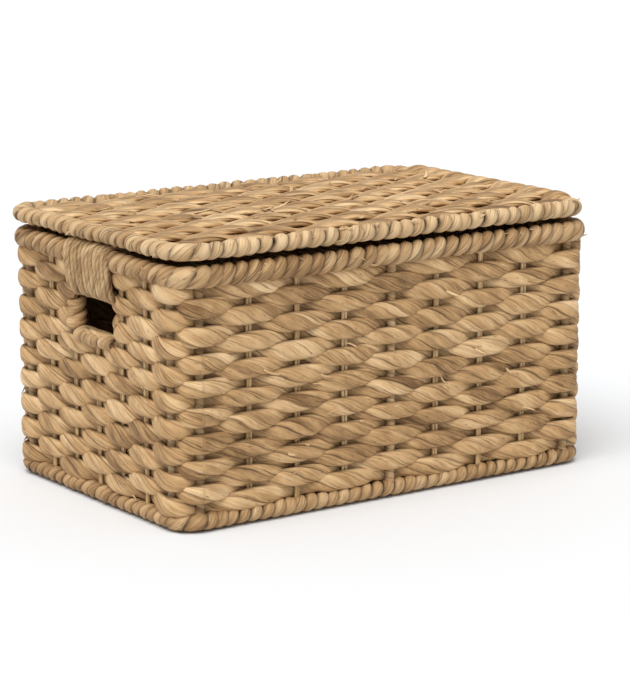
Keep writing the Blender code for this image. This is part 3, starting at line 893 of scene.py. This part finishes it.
GRIP_CORD = 0.0031
GRIP_HALF_LENGTH = 0.0352
GRIP_TURNS = 11.6
GRIP_SHIFT = 0.002
SILL_SIZE = (0.0106, 0.0074, 0.0088, 0.0032)    # half width, half height, pitch, leaf thickness
SILL_DROP = 0.0012
SILL_INSET = 0.001
KNOT_STAKES = {"left": LEFT_MIDDLE - 1, "right": RIGHT_MIDDLE + 1}
KNOT_SIZE = (0.0094, 0.0090, 0.0080, 0.0036)
KNOT_REACH = 0.0035
KNOT_SHIFT = 0.0015
LOOP_CORD = 0.0018
LOOP_POINTS = 14
LOOP_STEP = 0.0009
STRAP_HALF_THICKNESS = 0.0015
STRAP_HALF_WIDTH = 0.0034


def oval(half_x, half_z, angle, exponent):
    cos, sin = np.cos(angle), np.sin(angle)
    return (half_x * np.sign(cos) * np.abs(cos) ** exponent,
            half_z * np.sign(sin) * np.abs(sin) ** exponent)


def cord_winding(batch, middle, half_x, half_z, half_length, turns, radius, seed, lean=0.0, exponent=0.62):
    """Cord wound round a bundle that runs along Y."""
    per_turn = 60
    count = int(turns * per_turn)
    angle = 2 * math.pi * np.arange(count) / per_turn
    x, z = oval(half_x, half_z, angle, exponent)
    pitch = 2 * half_length / turns
    y = -half_length + pitch * angle / (2 * math.pi) + lean * z
    sway = 0.0008 * wobble(angle, 2.2, seed)
    path = np.stack([middle.x + x * (1 + 0.03 * wobble(angle, 3.0, seed + 1)), middle.y + y + sway,
                     middle.z + z * (1 + 0.02 * wobble(angle, 3.0, seed + 2))], axis=1)
    path = resampled(path, 0.0014)
    s, _ = arc_length(path, False)
    fat = radius * (1 + 0.08 * wobble(s, 0.03, seed + 3))
    twisted_strand(batch, path, False, fat, fat, seed, pitch=0.030, leaves=2, depth=0.16,
                   columns=NARROW_COLUMNS, up=(0, 1, 0), touch_shade=1.0, exponent=1.1)


def build_grips():
    for label in ("left", "right"):
        sign = -1 if label == "left" else 1
        node = f"handle_wrap_{label}"
        low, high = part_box(node)
        low.z += GRIP_LIFT[15]
        middle = (low + high) / 2
        middle.y -= GRIP_SHIFT
        batch = Batch()
        cord_winding(batch, middle, (high.x - low.x) / 2 - GRIP_CORD, (high.z - low.z) / 2 - GRIP_CORD,
                     GRIP_HALF_LENGTH, GRIP_TURNS, GRIP_CORD, 8000 + sign, lean=-0.20 * sign)
        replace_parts(batch.build(f"grip_{label}", CORD, "basket"), node)
        node = f"sill_wrap_{label}"
        low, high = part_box(node)
        y = np.arange(low.y + SILL_INSET, high.y - SILL_INSET, RING_STEP)
        path = np.stack([np.full(len(y), (low.x + high.x) / 2), y,
                         np.full(len(y), ROWS[12] - SILL_DROP)], axis=1)
        batch = Batch()
        coil(batch, path, False, *SILL_SIZE, 8100 + sign, lean=0.1, fullness=1.1, tone_shift=0.12)
        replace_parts(batch.build(f"sill_{label}", BORDER_LEAF, "basket"), node)
        hole_knot(label, sign)


def hole_knot(label, sign):
    """A leaf tied round the turned-back strand at the rear of the hand hole."""
    points, _ = wall_line(np.array([STATIONS[KNOT_STAKES[label]]]))
    z = np.linspace(ROWS[13] - KNOT_REACH, ROWS[14] + KNOT_REACH, 12)
    path = np.repeat(points, len(z), axis=0)
    path[:, 1] -= KNOT_SHIFT
    path[:, 2] = z
    batch = Batch()
    coil(batch, path, False, *KNOT_SIZE, 8300 + sign, hand=-1, lean=0.35, fullness=1.1, uneven=0.3,
         touch_shade=0.7, axis_up=(1, 0, 0))
    batch.build(f"hole_knot_{label}", STRAND, "basket")


def build_hinges():
    """The two loops that hold the lid, drawn as flat straps of leaf."""
    for label in ("left", "right"):
        node = f"hinge_loop_{label}"
        low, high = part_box(node)
        x = (low.x + high.x) / 2
        radius = (high.y - low.y) / 2 - LOOP_CORD
        upper, lower = high.z - LOOP_CORD - radius, low.z + LOOP_CORD + radius
        turn = np.linspace(0, math.pi, LOOP_POINTS)
        across, height = radius * np.cos(turn), radius * np.sin(turn)
        top = np.stack([np.full(LOOP_POINTS, x), HINGE_Y + across, upper + height], axis=1)
        bottom = np.stack([np.full(LOOP_POINTS, x), HINGE_Y - across, lower - height], axis=1)
        path = np.concatenate([top, bottom])
        s, length = arc_length(path, True)
        fine = np.arange(0, length, LOOP_STEP)
        ring = np.concatenate([path, path[:1]])
        knots = np.concatenate([s, [length]])
        path = np.stack([np.interp(fine, knots, ring[:, axis]) for axis in range(3)], axis=1)
        batch = Batch()
        thin = np.full(len(path), STRAP_HALF_THICKNESS)
        wide = np.full(len(path), STRAP_HALF_WIDTH)
        twisted_strand(batch, path, True, thin, wide, 8200 + len(label), pitch=0.030, leaves=3,
                       depth=0.2, columns=NARROW_COLUMNS, up=(1, 0, 0))
        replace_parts(batch.build(f"cord_hinge_{label}", CORD, "basket"), node)


# ---------------------------------------------------------------- loose leaf ends


def leaf_end(batch, root, heading, out, length, width, lift, curl, seed):
    """A loose leaf end: a thin blade that lies along the weave and lifts at its tip."""
    random = np.random.default_rng(seed)
    share = np.linspace(0, 1, 9)
    across = np.cross(heading, out)
    path = (root + np.outer(share * length, heading) + np.outer(lift * length * share ** 2.2, out)
            + np.outer(curl * length * share ** 2, across))
    phi = np.linspace(0, 2 * math.pi, 10, endpoint=False)[None, :]
    half_width = width / 2 * np.sqrt(np.clip(1 - share ** 3, 0.01, 1))[:, None]
    x = half_width * np.cos(phi)
    y = 0.00022 * np.sin(phi) + 0 * share[:, None]
    along = np.broadcast_to((share * length)[:, None] + random.uniform(0, 3), x.shape)
    grain = np.stack([x, y, along], axis=-1)
    batch.add(path, False, x, y, grain, 0 * x, 0 * x + random.uniform(0.45, 0.95), out)


WALL_ENDS = 90
LID_ENDS = 60
BORDER_ENDS = 34


def wall_leaf_ends():
    random = np.random.default_rng(90)
    batch = Batch()
    made = 0
    while made < WALL_ENDS:
        s = random.uniform(0, PERIMETER, 1)
        number = int(random.choice([row for row in sorted(ROWS) if row not in HOLE_ROWS]))
        u = stake_number(s)
        wave = row_wave(u, number)[0]
        near_grip = min(abs(u[0] - LEFT_MIDDLE), abs(u[0] - RIGHT_MIDDLE)) < 1.2
        if wave < 0.35 or (near_grip and number > 11):
            continue
        points, outward = wall_line(s)
        along = wall_line(s + 0.001)[0][0] - points[0]
        along /= np.linalg.norm(along)
        tall = random.uniform(-0.55, 0.75)
        root = points[0] + outward[0] * (REACH * wave + 0.0039 * math.sqrt(1 - tall * tall) - 0.0004)
        root[2] = ROWS[number] + 0.0078 * tall
        slope = random.uniform(0.1, 0.7)
        heading = random.choice([-1, 1]) * (along * math.cos(slope) - np.array([0, 0, 1]) * math.sin(slope))
        leaf_end(batch, root, heading, outward[0], random.uniform(0.005, 0.015),
                 random.uniform(0.0010, 0.0028), random.uniform(0.05, 0.30), random.uniform(-0.3, 0.3),
                 9000 + made)
        made += 1
    batch.build("wall_leaf_ends", STRAND, "basket")


def lid_leaf_ends():
    random = np.random.default_rng(91)
    batch = Batch()
    for number in range(LID_ENDS):
        root = np.array([LID_SHIFT + random.uniform(-0.95, 0.95) * (LID_X - 0.012),
                         random.uniform(-0.95, 0.95) * (RING_Y - 0.012), LID_Z + 0.0066])
        turn = random.normal(0, 0.5) + (math.pi if random.uniform() < 0.5 else 0)
        heading = np.array([math.cos(turn), math.sin(turn), 0.0])
        leaf_end(batch, root, heading, np.array([0.0, 0.0, 1.0]), random.uniform(0.008, 0.022),
                 random.uniform(0.0014, 0.0040), random.uniform(0.05, 0.22), random.uniform(-0.3, 0.3),
                 9200 + number)
    batch.build("lid_leaf_ends", STRAND, "lid")


def border_leaf_ends(name, body, half_x, shift, z, half_side, half_rise, seed):
    random = np.random.default_rng(seed)
    points, _, _ = ring_line(half_x, RING_Y, RING_CORNER, shift, z)
    side, _ = frames(points, False)
    forward = tangents(points, False)
    batch = Batch()
    for number in range(BORDER_ENDS):
        place = random.integers(20, len(points) - 20)
        angle = random.uniform(-1.0, 0.9)
        out = side[place] * math.cos(angle) + np.array([0, 0, 1]) * math.sin(angle)
        root = (points[place] + side[place] * (half_side - 0.0007) * math.cos(angle)
                + np.array([0, 0, 1]) * (half_rise - 0.0007) * math.sin(angle))
        heading = (forward[place] * random.choice([-1, 1])
                   + random.uniform(-0.6, 0.6) * np.cross(out, forward[place]))
        heading /= np.linalg.norm(heading)
        leaf_end(batch, root, heading, out, random.uniform(0.004, 0.011), random.uniform(0.0010, 0.0022),
                 random.uniform(0.03, 0.22), random.uniform(-0.3, 0.3), seed + 10 + number)
    batch.build(name, BORDER_LEAF, body)


# ---------------------------------------------------------------- stage, light and camera


FLOOR_COLOUR = (0.735, 0.745, 0.755, 1)
SKY_LIGHT = 0.64
KEY_FROM = (-0.38, -0.28, 0.9)
KEY_SOFTNESS = 50.0
KEY_STRENGTH = 2.7
CAMERA_AZIMUTH = -35.31
CAMERA_ELEVATION = 11.96
CAMERA_LENS = 136.2
CAMERA_PLACE = (-3.1146, -4.4445, 1.3792)       # in basket widths, from the middle of the base


def build_stage():
    bpy.ops.mesh.primitive_plane_add(size=60.0, location=(0, 0, 0))
    floor = bpy.context.active_object
    floor.name = "floor"
    material = bpy.data.materials.new("pale_floor")
    material.use_nodes = True
    shader = material.node_tree.nodes["Principled BSDF"]
    shader.inputs["Base Color"].default_value = FLOOR_COLOUR
    shader.inputs["Roughness"].default_value = 0.8
    floor.data.materials.append(material)
    world = bpy.data.worlds.new("studio")
    world.use_nodes = True
    nodes, links = world.node_tree.nodes, world.node_tree.links
    nodes["Background"].inputs["Color"].default_value = (1, 1, 1, 1)
    seen = nodes.new("ShaderNodeLightPath")
    strength = nodes.new("ShaderNodeMapRange")
    strength.inputs["To Min"].default_value = SKY_LIGHT
    strength.inputs["To Max"].default_value = 1.0
    links.new(seen.outputs["Is Camera Ray"], strength.inputs["Value"])
    links.new(strength.outputs["Result"], nodes["Background"].inputs["Strength"])
    bpy.context.scene.world = world
    bpy.context.scene.view_settings.view_transform = "Standard"


def soft_sun(name, towards, softness, strength):
    """Even light from one side, as from a wide diffuser; its shadows have soft edges."""
    data = bpy.data.lights.new(name, "SUN")
    data.angle = math.radians(softness)
    data.energy = strength
    light = bpy.data.objects.new(name, data)
    bpy.context.scene.collection.objects.link(light)
    light.rotation_euler = Vector(towards).to_track_quat("Z", "Y").to_euler()


def build_camera():
    """The camera's place and view angle, set from numbers fitted to the basket's corners."""
    azimuth, elevation = math.radians(CAMERA_AZIMUTH), math.radians(CAMERA_ELEVATION)
    back = Vector((math.sin(azimuth) * math.cos(elevation), -math.cos(azimuth) * math.cos(elevation),
                   math.sin(elevation)))
    data = bpy.data.cameras.new("camera")
    data.lens = CAMERA_LENS
    data.sensor_width = 36.0
    data.clip_end = 100.0
    camera = bpy.data.objects.new("camera", data)
    bpy.context.scene.collection.objects.link(camera)
    camera.location = Vector(CAMERA_PLACE) * 2 * RING_X + Vector((0, 0, BASE_Z))
    camera.rotation_euler = (-back).to_track_quat("-Z", "Y").to_euler()
    bpy.context.scene.camera = camera


build_camera()
build_stage()
soft_sun("key", KEY_FROM, KEY_SOFTNESS, KEY_STRENGTH)
build_wall_rows()
build_hole_rows()
build_canes()
build_posts()
build_borders()
build_mats()
build_lid_canes()
build_grips()
build_hinges()
wall_leaf_ends()
lid_leaf_ends()
border_leaf_ends("rim_leaf_ends", "basket", RING_X, 0.0, RIM_Z, 0.0084, 0.0098, 9400)
border_leaf_ends("lid_edge_leaf_ends", "lid", LID_X, LID_SHIFT, LID_Z, 0.0086, 0.0080, 9500)
